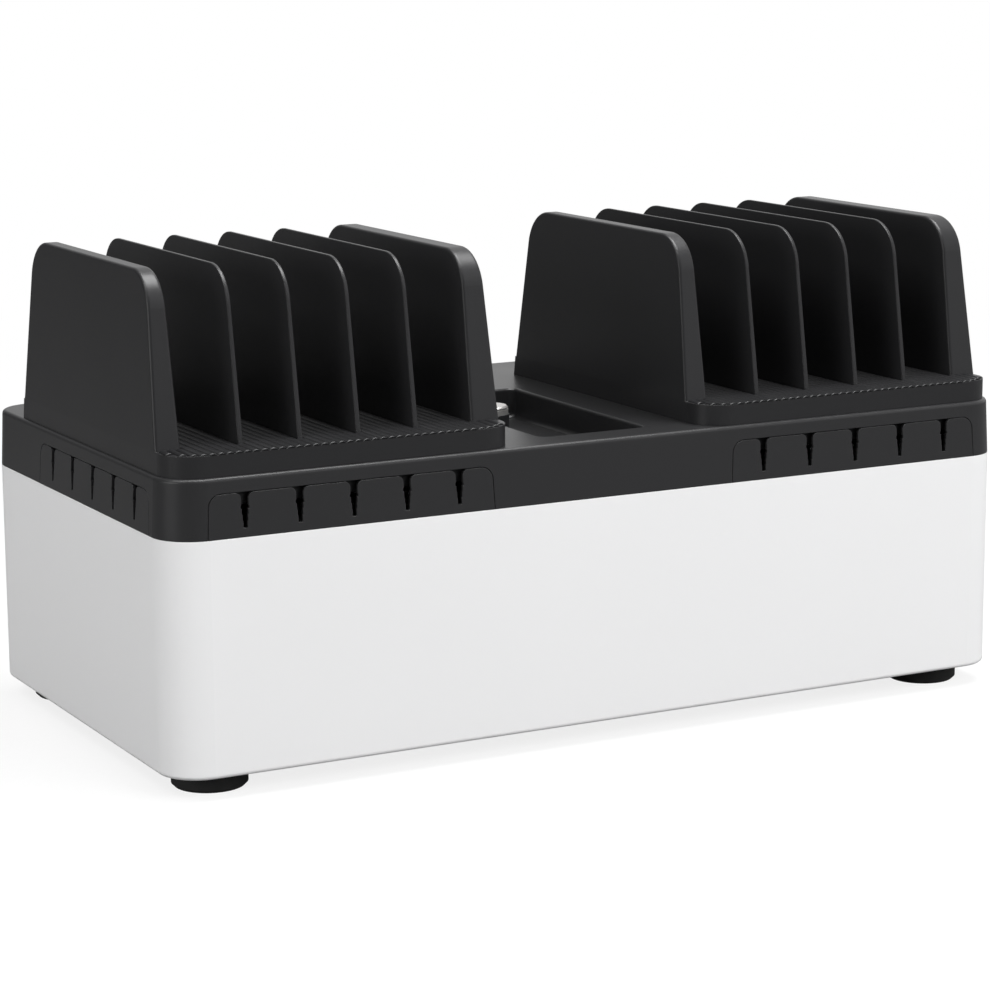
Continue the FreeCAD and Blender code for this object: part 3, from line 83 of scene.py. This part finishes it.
class Graph:
    """A node tree under construction, for a finish, a repeated piece or the surround."""

    def __init__(self, tree):
        self.tree = tree

    def node(self, kind, settings=None, inputs=None, output=0):
        """Add a node with its settings, then the values or links of its sockets."""
        made = self.tree.nodes.new(kind)
        for name, setting in (settings or {}).items():
            setattr(made, name, setting)
        for name, given in (inputs or {}).items():
            if isinstance(given, Link):
                self.tree.links.new(given.socket, made.inputs[name])
            else:
                made.inputs[name].default_value = given
        return Link(self, made.outputs[output]) if made.outputs else made

    def maths(self, operation, *given):
        return self.node("ShaderNodeMath", {"operation": operation}, dict(enumerate(given)))

    def measure(self, operation, *vectors):
        """The number that a Vector Math node works out from its vectors."""
        return self.node("ShaderNodeVectorMath", {"operation": operation},
                         dict(enumerate(vectors)), "Value")

    def blend(self, amount, first, second):
        """A colour between two others."""
        return self.node("ShaderNodeMix", {"data_type": "RGBA"},
                         {MIX_FACTOR: amount, MIX_FIRST: first, MIX_SECOND: second}, MIX_RESULT)

    def mixed(self, amount, first, second):
        """A shader between two others."""
        return self.node("ShaderNodeMixShader", inputs={0: amount, 1: first, 2: second})

    def rays(self, *kinds):
        """1 for rays of the named kinds, from the camera or off the object, and 0 for others."""
        found = [self.node("ShaderNodeLightPath", output="Is %s Ray" % kind) for kind in kinds]
        return functools.reduce(lambda one, other: self.maths("MAXIMUM", one, other), found)

    def ease(self, given, low, high):
        """0 below one limit, 1 above the other, and smooth between them."""
        return self.node("ShaderNodeMapRange", {"interpolation_type": "SMOOTHSTEP"},
                         {"Value": given, "From Min": low, "From Max": high})


class Finish(Graph):
    """A material whose tone, roughness and relief come from patterns on Object coordinates."""

    def __init__(self, name):
        self.material = bpy.data.materials.new(name)
        self.material.use_nodes = True
        super().__init__(self.material.node_tree)
        self.tree.nodes.clear()
        self.place = self.node("ShaderNodeTexCoord", output="Object")

    def stretched(self, scale, centre=(0, 0, 0)):
        """The place on the piece, drawn out along some axes."""
        shift = tuple(-c * s for c, s in zip(centre, scale))
        return self.node("ShaderNodeMapping",
                         inputs={"Vector": self.place, "Location": shift, "Scale": scale})

    def noise(self, scale, detail, roughness=0.5, at=None):
        return self.node("ShaderNodeTexNoise", inputs={
            "Vector": at or self.place, "Scale": scale, "Detail": detail, "Roughness": roughness})

    def swing(self, pattern, amount):
        """What a pattern adds and takes away as it rises and falls about its middle."""
        return (pattern - 0.5) * amount

    def soft_normal(self, radius):
        """The surface's direction with its edges eased over a small radius."""
        return self.node("ShaderNodeBevel", {"samples": BEVEL_SAMPLES}, {"Radius": radius})

    def edges(self, radius):
        """1 along the edges of a piece, 0 on its faces."""
        face = self.node("ShaderNodeNewGeometry", output="Normal")
        match = self.measure("DOT_PRODUCT", self.soft_normal(radius), face)
        return self.ease(1 - match, low=0.01, high=0.16)

    def surface(self, colour, roughness, height, relief, edge_radius, **constants):
        """Join a colour, a roughness and a relief into one surface."""
        bump = self.node("ShaderNodeBump", inputs={
            "Strength": 1.0, "Distance": relief, "Height": height,
            "Normal": self.soft_normal(edge_radius)})
        inputs = {"Base Color": colour, "Roughness": roughness, "Normal": bump}
        inputs.update({name.replace("_", " "): number for name, number in constants.items()})
        shader = self.node("ShaderNodeBsdfPrincipled", inputs=inputs)
        self.node("ShaderNodeOutputMaterial", inputs={"Surface": shader})
        return self.material


def colour(red, green, blue):
    return (red, green, blue, 1)


def moulded(name, body, rubbed, roughness, grain_size, relief, edge_radius=0.0005, **constants):
    """Moulded plastic: fine spark grain, faint flow clouds and edges that handling has polished."""
    wear_reach, deep_share = 1.6, 0.75
    wear_tint, cloud_tint, grain_tint = 0.55, 0.12, 0.10
    wear_gloss, cloud_gloss, grain_gloss = 0.10, 0.10, 0.12
    finish = Finish(name)
    grain = finish.noise(scale=1 / grain_size, detail=3, roughness=0.6)
    cloud = finish.noise(scale=9, detail=3)
    handled = finish.ease(finish.noise(scale=60, detail=4, roughness=0.65), low=0.42, high=0.68)
    worn = finish.edges(edge_radius * wear_reach) * handled
    tone = finish.blend(worn * wear_tint, body, rubbed)
    deep = colour(*(channel * deep_share for channel in body[:3]))
    shade = finish.blend(cloud * cloud_tint + grain * grain_tint, tone, deep)
    gloss = (roughness + finish.swing(cloud, cloud_gloss) + finish.swing(grain, grain_gloss)
             - worn * wear_gloss)
    return finish.surface(shade, gloss, grain, relief, edge_radius, **constants)


def rubber(name, body, dusty, relief):
    """Soft black rubber with a powdery bloom."""
    bloom_tint, edge_tint = 0.4, 0.35
    roughness, grain_gloss, bloom_gloss = 0.78, 0.2, 0.08
    finish = Finish(name)
    grain = finish.noise(scale=2600, detail=3, roughness=0.7)
    bloom = finish.ease(finish.noise(scale=70, detail=5, roughness=0.7), low=0.4, high=0.75)
    dust = bloom * bloom_tint + finish.edges(radius=0.0008) * edge_tint
    tone = finish.blend(dust, body, dusty)
    gloss = roughness + finish.swing(grain, grain_gloss) + bloom * bloom_gloss
    return finish.surface(tone, gloss, grain, relief, edge_radius=0.0006)


def plated(name, body, dull, roughness, brush_scale):
    """Plated metal: fine brush lines, dull patches and bright edges."""
    patch_tint, edge_tint = 0.45, 0.3
    brush_gloss, patch_gloss, edge_gloss = 0.25, 0.12, 0.08
    finish = Finish(name)
    brush = finish.noise(scale=1, detail=4, roughness=0.7, at=finish.stretched(brush_scale))
    patch = finish.ease(finish.noise(scale=120, detail=4, roughness=0.6), low=0.35, high=0.75)
    bright = finish.edges(radius=0.0005)
    tone = finish.blend(patch * patch_tint - bright * edge_tint, body, dull)
    gloss = (roughness + finish.swing(brush, brush_gloss) + patch * patch_gloss
             - bright * edge_gloss)
    return finish.surface(tone, gloss, brush, relief=0.00003, edge_radius=0.0003, Metallic=1.0)


def turned_metal(name, centre, body, dull, roughness, ring_pitch):
    """Satin turned metal: fine tool rings about an upright axis under a soft haze."""
    haze_tint, ring_gloss, haze_gloss = 0.4, 0.08, 0.16
    finish = Finish(name)
    radius = finish.measure("LENGTH", finish.stretched((1, 1, 0), centre))
    rings = finish.maths("SINE", radius * (2 * math.pi / ring_pitch)) * 0.5 + 0.5
    haze = finish.noise(scale=300, detail=4, roughness=0.6)
    tone = finish.blend(finish.ease(haze, low=0.35, high=0.8) * haze_tint, body, dull)
    gloss = roughness + rings * ring_gloss + finish.swing(haze, haze_gloss)
    height = rings * 0.5 + haze * 0.5
    return finish.surface(tone, gloss, height, relief=0.00002, edge_radius=0.0004, Metallic=0.75)


# Each finish has the name of its material slot. The ribs have a finish of their own.
finish_looks = {
    "white_shell": (moulded, dict(
        body=colour(0.80, 0.80, 0.805), rubbed=colour(0.86, 0.86, 0.86),
        roughness=0.42, grain_size=0.0007, relief=0.00002, edge_radius=0.0007)),
    "black_shell": (moulded, dict(
        body=colour(0.021, 0.021, 0.022), rubbed=colour(0.056, 0.056, 0.058),
        roughness=0.34, grain_size=0.0006, relief=0.00002, Specular_IOR_Level=0.27)),
    "black_rack": (moulded, dict(
        body=colour(0.018, 0.018, 0.019), rubbed=colour(0.048, 0.048, 0.050),
        roughness=0.34, grain_size=0.0006, relief=0.00002, Specular_IOR_Level=0.25)),
    "foot_rubber": (rubber, dict(
        body=colour(0.008, 0.008, 0.008), dusty=colour(0.035, 0.035, 0.035), relief=0.00004)),
    "lock_metal": (turned_metal, dict(
        centre=tuple((low + high) / 2 for low, high in zip(*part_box("lock_barrel"))),
        body=colour(0.50, 0.49, 0.48), dull=colour(0.34, 0.33, 0.32),
        roughness=0.38, ring_pitch=0.0004)),
    "black_fitting": (moulded, dict(
        body=colour(0.012, 0.012, 0.013), rubbed=colour(0.05, 0.05, 0.05),
        roughness=0.5, grain_size=0.0005, relief=0.00003)),
    "plated_steel": (plated, dict(
        body=colour(0.58, 0.58, 0.59), dull=colour(0.34, 0.34, 0.35),
        roughness=0.34, brush_scale=(40, 900, 900))),
    "strip_plastic": (moulded, dict(
        body=colour(0.055, 0.056, 0.060), rubbed=colour(0.14, 0.14, 0.15),
        roughness=0.5, grain_size=0.0009, relief=0.00005)),
    "outlet_plastic": (moulded, dict(
        body=colour(0.20, 0.20, 0.21), rubbed=colour(0.32, 0.32, 0.33),
        roughness=0.34, grain_size=0.0008, relief=0.00002)),
    "inlet_plastic": (moulded, dict(
        body=colour(0.020, 0.020, 0.021), rubbed=colour(0.07, 0.07, 0.07),
        roughness=0.4, grain_size=0.0007, relief=0.00003)),
    "rocker_plastic": (moulded, dict(
        body=colour(0.015, 0.015, 0.016), rubbed=colour(0.06, 0.06, 0.06),
        roughness=0.2, grain_size=0.0008, relief=0.00001, edge_radius=0.0004)),
    "contact_brass": (plated, dict(
        body=colour(0.74, 0.55, 0.25), dull=colour(0.42, 0.29, 0.13),
        roughness=0.3, brush_scale=(900, 60, 900))),
    "lead_jacket": (rubber, dict(
        body=colour(0.018, 0.018, 0.019), dusty=colour(0.07, 0.07, 0.07), relief=0.00003)),
    # The ribs' plastic is the racks' plastic made darker: painted shade on the ribbed floors
    # between the dividers.
    "rack_ribs": (moulded, dict(
        body=colour(0.010, 0.010, 0.011), rubbed=colour(0.030, 0.030, 0.031),
        roughness=0.44, grain_size=0.0006, relief=0.00001, edge_radius=0.0001,
        Specular_IOR_Level=0.19)),
}
finishes = {name: make(name, **look) for name, (make, look) in finish_looks.items()}
slot_of_node = {part["node"]: part["material_slot"] for part in frame["record"]["subparts"]}
for name, node in frame["nodes"].items():
    node.data.materials.clear()
    node.data.materials.append(finishes[slot_of_node[name]])


# Sizes of the racks that the boxes of their pieces don't give.
DIVIDER_COUNT = 4
DIVIDER_SEAT = 0.0015
PLINTH_CORNER = 0.017
OUTER_GAP_TRIM = 0.0004

# The ribs on a plinth. One that meets a divider or a wall runs in a little way under its front.
RIB_COUNT = 40
RIBS_PER_BAY = 7
RIB_HALF_WIDTH_SHARE = 0.49
RIB_HEIGHT = 0.0009
RIB_BEVEL = 0.00045
RIB_BEVEL_DROP = 0.0003
RIB_RUN_IN = 0.0005
RIB_ARCH_POINTS = 13

# Each half of a rib has points at 0, 0.1, 0.9, 1 and 1.1 of its bevel's length. The close ones keep
# the bevel flat under smooth shading.
RIB_HALF_POINTS = 5
CLOSE_SHARE = 0.1

# The lengths that the ribs' node tree takes.
RIB_LENGTHS = (
    "Pitch", "Middle", "Plinth Middle", "Half Width", "Height", "Bevel", "Drop", "Floor", "Front",
    "Back", "Ledge End", "Corner", "Half Span", "Clear Span", "Divider Pitch", "Dividers Reach")


def group_inputs(tree, sizes):
    """Give a tree its named inputs and one geometry output, and return the input node's links."""
    for name, kind in sizes.items():
        tree.interface.new_socket(name, in_out="INPUT", socket_type=kind)
    tree.interface.new_socket("Geometry", in_out="OUTPUT", socket_type="NodeSocketGeometry")
    graph = Graph(tree)
    source = tree.nodes.new("NodeGroupInput")
    return graph, {name: Link(graph, source.outputs[name]) for name in sizes}


def rib_run(graph, size, across):
    """Where a rib starts in front and ends behind, from its place across the rack."""
    # In a corner of the plinth a rib starts further back, on the corner's arc.
    out = graph.maths("ABSOLUTE", across - size["Plinth Middle"]) + size["Half Width"]
    into = graph.maths("MAXIMUM", out - (size["Half Span"] - size["Corner"]), 0.0)
    arc = graph.maths("SQRT", graph.maths("MAXIMUM", size["Corner"] ** 2.0 - into ** 2.0, 0.0))
    front = size["Front"] + size["Corner"] - arc
    # A rib in line with a divider or an end wall ends on the ledge in front of it.
    offset = graph.maths("ABSOLUTE", across - size["Middle"])
    past_divider = graph.maths(
        "FLOORED_MODULO", offset - size["Divider Pitch"] * 0.5 + size["Pitch"] * 0.5,
        size["Divider Pitch"])
    on_divider = (size["Pitch"] > past_divider) * (size["Dividers Reach"] > offset)
    in_wall = offset > size["Clear Span"] - size["Half Width"]
    short = graph.maths("MAXIMUM", on_divider, in_wall)
    back = size["Back"] + short * (size["Ledge End"] - size["Back"])
    return front, back


def rib_tree():
    """Arched ribs side by side with bevelled ends, cut short where a wall or a divider stands."""
    tree = bpy.data.node_groups.new("rack_floor_ribs", "GeometryNodeTree")
    graph, size = group_inputs(tree, {
        "Count": "NodeSocketInt", **dict.fromkeys(RIB_LENGTHS, "NodeSocketFloat"),
        "Material": "NodeSocketMaterial"})
    # A rib is the part of a round bar that stands above the floor: the bar's axis lies below it.
    bow = (size["Half Width"] ** 2.0 + size["Height"] ** 2.0) / (size["Height"] * 2.0)
    start = graph.node("ShaderNodeCombineXYZ", inputs={
        "X": size["Middle"] - size["Pitch"] * (size["Count"] - 1) * 0.5,
        "Z": size["Floor"] + size["Height"] - bow})
    step = graph.node("ShaderNodeCombineXYZ", inputs={"X": size["Pitch"]})
    row = graph.node("GeometryNodeMeshLine", inputs={
        "Count": size["Count"], "Start Location": start, "Offset": step})
    line = graph.node("GeometryNodeCurvePrimitiveLine", inputs={"End": (0, 1, 0)})
    line = graph.node("GeometryNodeResampleCurve",
                      inputs={"Curve": line, "Count": 2 * RIB_HALF_POINTS})
    axes = graph.node("GeometryNodeInstanceOnPoints", inputs={"Points": row, "Instance": line})
    axes = graph.node("GeometryNodeRealizeInstances", inputs={0: axes})

    where = graph.node("GeometryNodeInputPosition")
    across = graph.node("ShaderNodeSeparateXYZ", inputs={0: where}, output="X")
    height = graph.node("ShaderNodeSeparateXYZ", inputs={0: where}, output="Z")
    front, back = rib_run(graph, size, across)
    index = graph.node("GeometryNodeSplineParameter", output="Index")
    from_end = graph.maths("MINIMUM", index, (2 * RIB_HALF_POINTS - 1) - index)
    share = from_end * CLOSE_SHARE + (from_end > 1) * (1 - 3 * CLOSE_SHARE)
    tip = share * size["Bevel"]
    second_half = index > RIB_HALF_POINTS - 1
    along = front + tip + second_half * (back - tip - front - tip)
    place = graph.node("ShaderNodeCombineXYZ", inputs={"X": across, "Y": along, "Z": height})
    axes = graph.node("GeometryNodeSetPosition", inputs={"Geometry": axes, "Position": place})

    # The sweep turns the underside of its profile up, so the arch lies at the foot of a circle.
    foot = 1.5 * math.pi
    reach = graph.maths("ARCSINE", size["Half Width"] / bow)
    arch = graph.node("GeometryNodeCurveArc", inputs={
        "Resolution": RIB_ARCH_POINTS, "Radius": bow,
        "Start Angle": foot - reach, "Sweep Angle": reach * 2.0})
    arch = graph.node("GeometryNodeSetSplineCyclic", inputs={"Geometry": arch, "Cyclic": True})
    scale = 1 - (1 - graph.maths("MINIMUM", share, 1.0)) * size["Drop"] / bow
    ribs = graph.node("GeometryNodeCurveToMesh", inputs={
        "Curve": axes, "Profile Curve": arch, "Scale": scale, "Fill Caps": True})
    ribs = graph.node("GeometryNodeSetShadeSmooth", inputs={"Geometry": ribs})
    ribs = graph.node("GeometryNodeRealizeInstances", inputs={0: ribs})
    ribs = graph.node("GeometryNodeSetMaterial",
                      inputs={"Geometry": ribs, "Material": size["Material"]})
    graph.node("NodeGroupOutput", inputs={"Geometry": ribs})
    return tree


def grown(name, tree, sizes):
    """A plain mesh from a node tree with its sizes set."""
    holder = bpy.data.objects.new(name, bpy.data.meshes.new(name))
    scene.collection.objects.link(holder)
    modifier = holder.modifiers.new("grow", "NODES")
    modifier.node_group = tree
    for item in tree.interface.items_tree:
        if item.item_type == "SOCKET" and item.in_out == "INPUT":
            modifier[item.identifier] = sizes[item.name]
    depsgraph = bpy.context.evaluated_depsgraph_get()
    mesh = bpy.data.meshes.new_from_object(holder.evaluated_get(depsgraph))
    holder.modifiers.remove(modifier)
    holder.data = mesh
    mesh.name = name
    return holder


def ribbed_floor(side, tree):
    """The ribs on the plinth of one rack, from the sizes of the rack and its dividers."""
    low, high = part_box("rack_" + side)
    dividers = [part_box("rack_%s_divider_%d" % (side, number))
                for number in range(1, DIVIDER_COUNT + 1)]
    divider_low, divider_high = dividers[0]
    middles = [(a.x + b.x) / 2 for a, b in dividers]
    bay = middles[1] - middles[0]
    rib_pitch = bay / RIBS_PER_BAY
    ribs = grown("rack_%s_ribs" % side, tree, {
        "Count": RIB_COUNT, "Pitch": rib_pitch, "Half Width": RIB_HALF_WIDTH_SHARE * rib_pitch,
        "Height": RIB_HEIGHT, "Bevel": RIB_BEVEL, "Drop": RIB_BEVEL_DROP,
        "Middle": sum(middles) / len(middles), "Plinth Middle": (low.x + high.x) / 2,
        "Floor": divider_low.z + DIVIDER_SEAT, "Front": low.y, "Back": divider_high.y,
        "Ledge End": divider_low.y + RIB_RUN_IN,
        "Corner": PLINTH_CORNER, "Half Span": (high.x - low.x) / 2,
        "Clear Span": (DIVIDER_COUNT + 1) / 2 * bay - OUTER_GAP_TRIM,
        "Divider Pitch": bay, "Dividers Reach": DIVIDER_COUNT / 2 * bay,
        # The ribs' finish is the darker copy of the rack plastic, with shade painted into its
        # colour.
        "Material": finishes["rack_ribs"],
    })
    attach(ribs, "lid")


floor_ribs = rib_tree()
for side in ("left", "right"):
    ribbed_floor(side, floor_ribs)


# The stage: a pale floor under a white surround, soft lamps and the photograph's camera.
WHITE = colour(1, 1, 1)
PAPER_TONES = colour(0.14, 0.14, 0.14), colour(0.16, 0.16, 0.16)
FLOOR_HALF = 12.0
FLOOR_GLOW = 0.82
# The share of the floor's glow that gloss on the object shows.
MIRRORED_GLOW = 0.05

# The surround's strength on its dim and its bright side, for light and for what gloss shows.
BRIGHT_SIDE = (0.9, 0.0, 0.4)
LIGHT_STRENGTHS = 0.36, 0.50
MIRRORED_STRENGTHS = 0.12, 0.9

# What a lamp aims at unless it is told otherwise.
OBJECT_MIDDLE = (0, 0, 0.1)

# Azimuth, elevation and roll in degrees, and millimetres for the lens and its sensor.
CAMERA_ANGLES = (27.899, 11.163, -0.372)
CAMERA_PLACE = (-0.7143, -1.3494, 0.4014)
CAMERA_LENS = 109.61
CAMERA_SENSOR = 36


def shadow_floor():
    """A wide pale floor that looks white where nothing shades it."""
    mesh = bpy.data.meshes.new("floor")
    corners = [(x * FLOOR_HALF, y * FLOOR_HALF, 0) for x, y in ((-1, -1), (1, -1), (1, 1), (-1, 1))]
    mesh.from_pydata(corners, [], [(0, 1, 2, 3)])
    floor = bpy.data.objects.new("floor", mesh)
    scene.collection.objects.link(floor)
    finish = Finish("pale_floor")
    looked_at = finish.maths("MAXIMUM", finish.rays("Camera", "Transmission"),
                             finish.rays("Glossy") * MIRRORED_GLOW)
    paper = finish.blend(finish.noise(scale=300, detail=3), *PAPER_TONES)
    matt = finish.node("ShaderNodeBsdfDiffuse", inputs={"Color": paper})
    glow = finish.node("ShaderNodeEmission", inputs={"Color": WHITE, "Strength": FLOOR_GLOW})
    lit = finish.node("ShaderNodeAddShader", inputs={0: matt, 1: glow})
    white = finish.node("ShaderNodeEmission", inputs={"Color": WHITE, "Strength": 1.0})
    far = finish.ease(finish.measure("LENGTH", finish.place), low=0.7, high=1.5)
    clear = finish.mixed(far, lit, white)
    both = finish.mixed(looked_at, matt, clear)
    finish.node("ShaderNodeOutputMaterial", inputs={"Surface": both})
    mesh.materials.append(finish.material)


def studio_world():
    """Soft light, most of it from the right and above, and plain white where it is looked at."""
    world = bpy.data.worlds.new("studio")
    world.use_nodes = True
    world.node_tree.nodes.clear()
    graph = Graph(world.node_tree)
    facing = graph.node("ShaderNodeTexCoord", output="Generated")
    bright = graph.ease(graph.measure("DOT_PRODUCT", facing, BRIGHT_SIDE), low=-0.2, high=0.6)

    def glow(strength):
        return graph.node("ShaderNodeBackground", inputs={"Color": WHITE, "Strength": strength})

    lighting = graph.mixed(bright, *map(glow, LIGHT_STRENGTHS))
    mirrored = graph.mixed(bright, *map(glow, MIRRORED_STRENGTHS))
    surround = graph.mixed(graph.rays("Glossy"), lighting, mirrored)
    shown = graph.mixed(graph.rays("Camera", "Transmission"), surround, glow(1.0))
    graph.node("ShaderNodeOutputWorld", inputs={"Surface": shown})
    scene.world = world


def softbox(name, place, width, height, power, aim=OBJECT_MIDDLE, mirrored=True, lit=True):
    """A rectangular soft light, for gloss, for plain surfaces or for both."""
    data = bpy.data.lights.new(name, "AREA")
    data.shape = "RECTANGLE"
    data.size = width
    data.size_y = height
    data.energy = power
    lamp = bpy.data.objects.new(name, data)
    scene.collection.objects.link(lamp)
    lamp.visible_glossy = mirrored
    lamp.visible_diffuse = lit
    lamp.location = place
    lamp.rotation_euler = (Vector(aim) - Vector(place)).to_track_quat("-Z", "Y").to_euler()


def photo_camera():
    """The camera at the photograph's place, found from the edges of the tub, lid and racks."""
    azimuth, elevation, roll = (math.radians(angle) for angle in CAMERA_ANGLES)
    forward = Vector((math.sin(azimuth) * math.cos(elevation),
                      math.cos(azimuth) * math.cos(elevation), -math.sin(elevation)))
    right = Vector((math.cos(azimuth), -math.sin(azimuth), 0))
    up = right.cross(forward)
    turned_right = math.cos(roll) * right + math.sin(roll) * up
    turned_up = -math.sin(roll) * right + math.cos(roll) * up
    data = bpy.data.cameras.new("photo_camera")
    data.lens = CAMERA_LENS
    data.sensor_width = CAMERA_SENSOR
    camera = bpy.data.objects.new("photo_camera", data)
    scene.collection.objects.link(camera)
    turn = Matrix((turned_right, turned_up, -forward)).transposed().to_4x4()
    camera.matrix_world = Matrix.Translation(CAMERA_PLACE) @ turn
    scene.camera = camera


shadow_floor()
studio_world()
softbox("key", place=(0.9, -2.2, 1.5), width=1.6, height=1.2, power=60, mirrored=False)
softbox("top_left", place=(-1.3, -0.3, 2.0), width=1.0, height=0.9, power=20)
softbox("top_right", place=(0.75, -0.15, 2.2), width=1.1, height=0.9, power=38, mirrored=False)
softbox("sheen", place=(0.2, 0, 2.2), width=1.5, height=1.3, power=92, aim=(0.2, 0, 0), lit=False)
softbox("left_fill", place=(-2.3, -0.35, 0.6), width=1.4, height=0.9, power=16.5)
photo_camera()
scene.view_settings.view_transform = "Standard"
